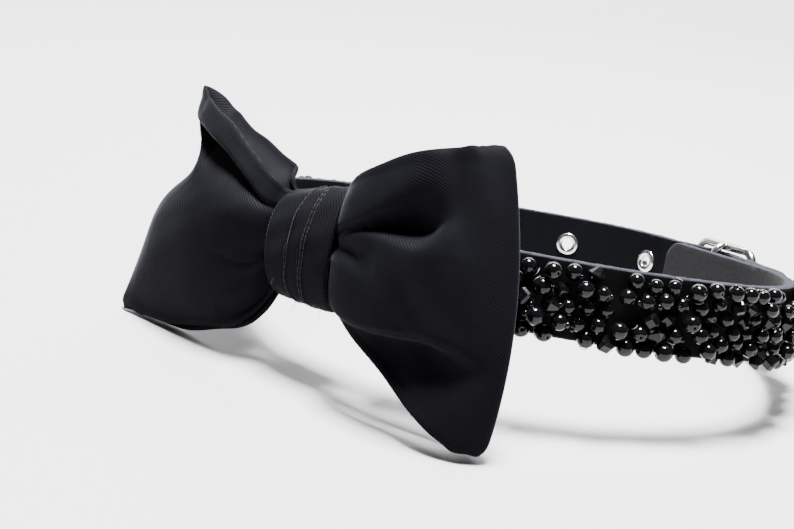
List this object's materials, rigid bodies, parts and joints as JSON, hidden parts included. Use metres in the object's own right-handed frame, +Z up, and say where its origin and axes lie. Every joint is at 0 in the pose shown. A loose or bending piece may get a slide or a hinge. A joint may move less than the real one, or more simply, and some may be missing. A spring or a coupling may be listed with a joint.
{
  "type": "pet bow tie collar",
  "caption": "Buckled leather pet collar with a band of round black beads and a hollow twill bow tied round its front.",
  "frame": {"origin": "centre of the footprint's bounding box, at the floor the collar rests on", "axes": "+Z up, away from the floor; -Y towards the bow; +X towards the bow's right wing as seen from the front. The loop leans back and to one side, because it rests on both wings of the bow and on the buckle."},
  "size_m": [0.1822, 0.1778, 0.0732],
  "materials": {
    "leather": "black grain leather with grey suede edges",
    "tab_leather": "black folded leather tab",
    "nickel": "bright nickel plate",
    "prong_steel": "plain steel wire",
    "eyelet_nickel": "nickel plate, lightly worn",
    "jet_beads": "glossy black",
    "black_twill": "black satin twill with fine slanting ribs",
    "knot_twill": "black satin twill with two raised seams"
  },
  "bodies": {
    "root": {"strap": "leather", "eyelet_1": "eyelet_nickel", "eyelet_2": "eyelet_nickel", "eyelet_3": "eyelet_nickel", "eyelet_4": "eyelet_nickel", "buckle_frame": "nickel", "buckle_prong": "prong_steel", "buckle_chape": "tab_leather", "bead_field_right": "jet_beads", "bead_field_left": "jet_beads", "bow_loop": "black_twill", "knot": "knot_twill"}
  },
  "joints": []
}
